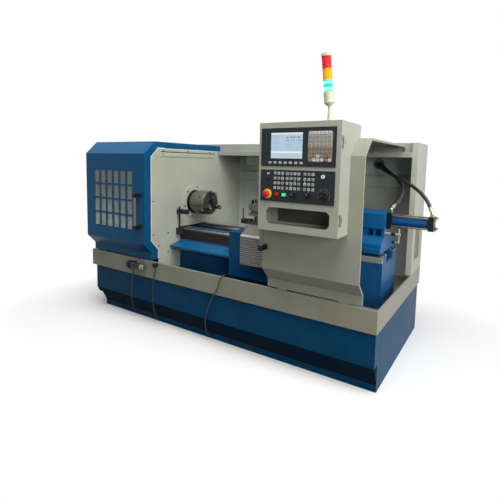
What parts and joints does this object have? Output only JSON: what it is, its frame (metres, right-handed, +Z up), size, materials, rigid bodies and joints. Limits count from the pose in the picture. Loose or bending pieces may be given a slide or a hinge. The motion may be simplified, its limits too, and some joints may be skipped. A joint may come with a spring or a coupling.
{
  "type": "cnc turning lathe",
  "caption": "Flat-bed turning lathe on a blue base with a grey tray rim, blue windowed sliding guard, grey guard with control pendant, chuck, tool turret and hydraulic tailstock.",
  "frame": {"origin": "centre of the base's rectangular rim outline, on the floor", "axes": "+X along the bed from headstock to tailstock, +Y from the operator's side to the back, +Z up"},
  "size_m": [3.141, 1.684, 2.1682],
  "materials": {
    "base_blue": "semi-gloss navy blue paint",
    "rim_grey": "semi-gloss light grey paint",
    "panel_grey": "light grey paint on sheet",
    "door_blue": "semi-gloss blue paint on sheet",
    "casting_blue": "bright blue machine enamel on cast iron",
    "casting_grey": "grey-green machine enamel on cast iron",
    "steel": "ground steel",
    "dark_steel": "oiled dark steel",
    "black_metal": "satin black",
    "black_plastic": "moulded black plastic",
    "rubber": "black rubber",
    "clear_sheet": "clear polycarbonate sheet",
    "panel_dark": "dark grey membrane panel",
    "key_grey": "grey keys",
    "screen": "lit display pane",
    "red": "red plastic",
    "green": "green lit plastic",
    "lens": "coloured lens plastic, red over amber over green",
    "beige": "beige plastic",
    "brass": "brass and zinc fittings",
    "chrome": "bright plated steel"
  },
  "bodies": {
    "machine": {"base_cabinet": "base_blue", "tray_rim": "rim_grey", "bed": "casting_blue", "headstock": "casting_grey", "drive_belt": "rubber", "main_motor": "dark_steel", "headstock_panel": "panel_grey", "left_end_panel": "panel_grey", "rear_wall": "panel_grey", "top_beam": "panel_grey", "right_end_panel": "panel_grey", "work_lamp": "panel_grey", "screw_cover": "casting_blue", "screw_bearings": "dark_steel", "z_servo_motor": "black_metal", "rod_stand": "black_metal", "rim_valve": "chrome", "front_leads": "rubber", "hose_gland": "rubber", "hoses": "rubber"},
    "spindle_assembly": {"spindle": "steel", "chuck_body": "dark_steel"},
    "jaw_1": {"chuck_jaw_1": "dark_steel"},
    "jaw_2": {"chuck_jaw_2": "dark_steel"},
    "jaw_3": {"chuck_jaw_3": "dark_steel"},
    "motor_shaft": {"motor_pulley": "dark_steel"},
    "lead_screw": {"z_ballscrew": "steel"},
    "carriage": {"saddle": "casting_blue"},
    "cross": {"cross_slide": "steel", "turret_base": "steel", "drive_cover": "panel_grey", "coolant_pipe": "black_plastic"},
    "turret": {"turret_head": "steel", "turning_tools": "dark_steel"},
    "tailstock": {"tailstock_base": "casting_blue", "tailstock_body": "casting_blue", "cylinder_tube": "casting_blue", "cylinder_caps": "black_metal", "hose_fittings": "brass"},
    "quill_body": {"quill": "steel"},
    "centre": {"live_centre": "steel"},
    "clamp": {"clamp_lever": "chrome"},
    "left_guard": {"left_door": "door_blue", "left_door_window": "clear_sheet", "left_door_handle": "black_metal"},
    "right_guard": {"right_door": "panel_grey", "right_door_handle": "black_metal", "pendant_box": "panel_grey", "beacon_stand": "beige", "beacon_lenses": "lens"},
    "pendant_front": {"pendant_door": "panel_grey", "control_panels": "panel_dark", "screen": "screen", "panel_keys": "key_grey"},
    "estop": {"estop_button": "red"},
    "stop": {"stop_button": "red"},
    "start": {"start_button": "green"},
    "selector": {"selector_knob": "black_plastic"},
    "key": {"key_switch": "black_plastic"},
    "dial": {"feed_dial": "black_plastic"}
  },
  "joints": [
    {"name": "left_guard_slide", "type": "slide", "parent": "machine", "child": "left_guard", "axis": [1, 0, 0], "range_m": [0, 0.82]},
    {"name": "right_guard_slide", "type": "slide", "parent": "machine", "child": "right_guard", "axis": [1, 0, 0], "range_m": [-0.39, 0]},
    {"name": "pendant_hinge", "type": "hinge", "parent": "right_guard", "child": "pendant_front", "pos_m": [1.263, -0.915, 1.069], "axis": [0, 0, 1], "range_deg": [0, 110]},
    {"name": "spindle_spin", "type": "hinge", "parent": "machine", "child": "spindle_assembly", "pos_m": [-0.491, -0.125, 1.102], "axis": [1, 0, 0], "continuous": true},
    {"name": "jaw_1_slide", "type": "slide", "parent": "spindle_assembly", "child": "jaw_1", "axis": [0, 0, 1], "range_m": [-0.012, 0.006]},
    {"name": "jaw_2_slide", "type": "slide", "parent": "spindle_assembly", "child": "jaw_2", "axis": [0, -0.866, -0.5], "range_m": [-0.012, 0.006]},
    {"name": "jaw_3_slide", "type": "slide", "parent": "spindle_assembly", "child": "jaw_3", "axis": [0, 0.866, -0.5], "range_m": [-0.012, 0.006]},
    {"name": "motor_spin", "type": "hinge", "parent": "machine", "child": "motor_shaft", "pos_m": [-1.37, 0.3755, 0.802], "axis": [1, 0, 0], "continuous": true},
    {"name": "carriage_slide", "type": "slide", "parent": "machine", "child": "carriage", "axis": [1, 0, 0], "range_m": [-0.45, 0.05]},
    {"name": "ballscrew_spin", "type": "hinge", "parent": "machine", "child": "lead_screw", "pos_m": [-0.595, -0.4, 0.675], "axis": [1, 0, 0], "continuous": true},
    {"name": "cross_slide_travel", "type": "slide", "parent": "carriage", "child": "cross", "axis": [0, 1, 0], "range_m": [-0.12, 0.02]},
    {"name": "turret_index", "type": "hinge", "parent": "cross", "child": "turret", "pos_m": [0.325, -0.27, 1.102], "axis": [0, 0, 1], "continuous": true},
    {"name": "tailstock_slide", "type": "slide", "parent": "machine", "child": "tailstock", "axis": [1, 0, 0], "range_m": [-0.15, 0], "deforming": ["hoses"]},
    {"name": "quill_slide", "type": "slide", "parent": "tailstock", "child": "quill_body", "axis": [1, 0, 0], "range_m": [-0.1, 0]},
    {"name": "centre_spin", "type": "hinge", "parent": "quill_body", "child": "centre", "pos_m": [0.8, -0.125, 1.102], "axis": [1, 0, 0], "continuous": true},
    {"name": "clamp_turn", "type": "hinge", "parent": "tailstock", "child": "clamp", "pos_m": [1.346, -0.2, 1.01], "axis": [1, 0, 0], "range_deg": [0, 60]},
    {"name": "estop_push", "type": "slide", "parent": "pendant_front", "child": "estop", "axis": [0, 1, 0], "range_m": [0, 0.006], "stiffness_N_per_m": 800},
    {"name": "stop_push", "type": "slide", "parent": "pendant_front", "child": "stop", "axis": [0, 1, 0], "range_m": [0, 0.004], "stiffness_N_per_m": 500},
    {"name": "start_push", "type": "slide", "parent": "pendant_front", "child": "start", "axis": [0, 1, 0], "range_m": [0, 0.004], "stiffness_N_per_m": 500},
    {"name": "selector_turn", "type": "hinge", "parent": "pendant_front", "child": "selector", "pos_m": [0.96, -0.946, 1.31], "axis": [0, 1, 0], "range_deg": [-45, 45]},
    {"name": "key_turn", "type": "hinge", "parent": "pendant_front", "child": "key", "pos_m": [1.059, -0.946, 1.31], "axis": [0, 1, 0], "range_deg": [0, 90]},
    {"name": "dial_turn", "type": "hinge", "parent": "pendant_front", "child": "dial", "pos_m": [1.162, -0.946, 1.322], "axis": [0, 1, 0], "range_deg": [-135, 135]}
  ],
  "couplings": [
    {"joint": "jaw_2_slide", "follows": "jaw_1_slide", "ratio": 1},
    {"joint": "jaw_3_slide", "follows": "jaw_1_slide", "ratio": 1},
    {"joint": "motor_spin", "follows": "spindle_spin", "ratio": 1.5714},
    {"joint": "ballscrew_spin", "follows": "carriage_slide", "rad_per_m": 628.32}
  ]
}
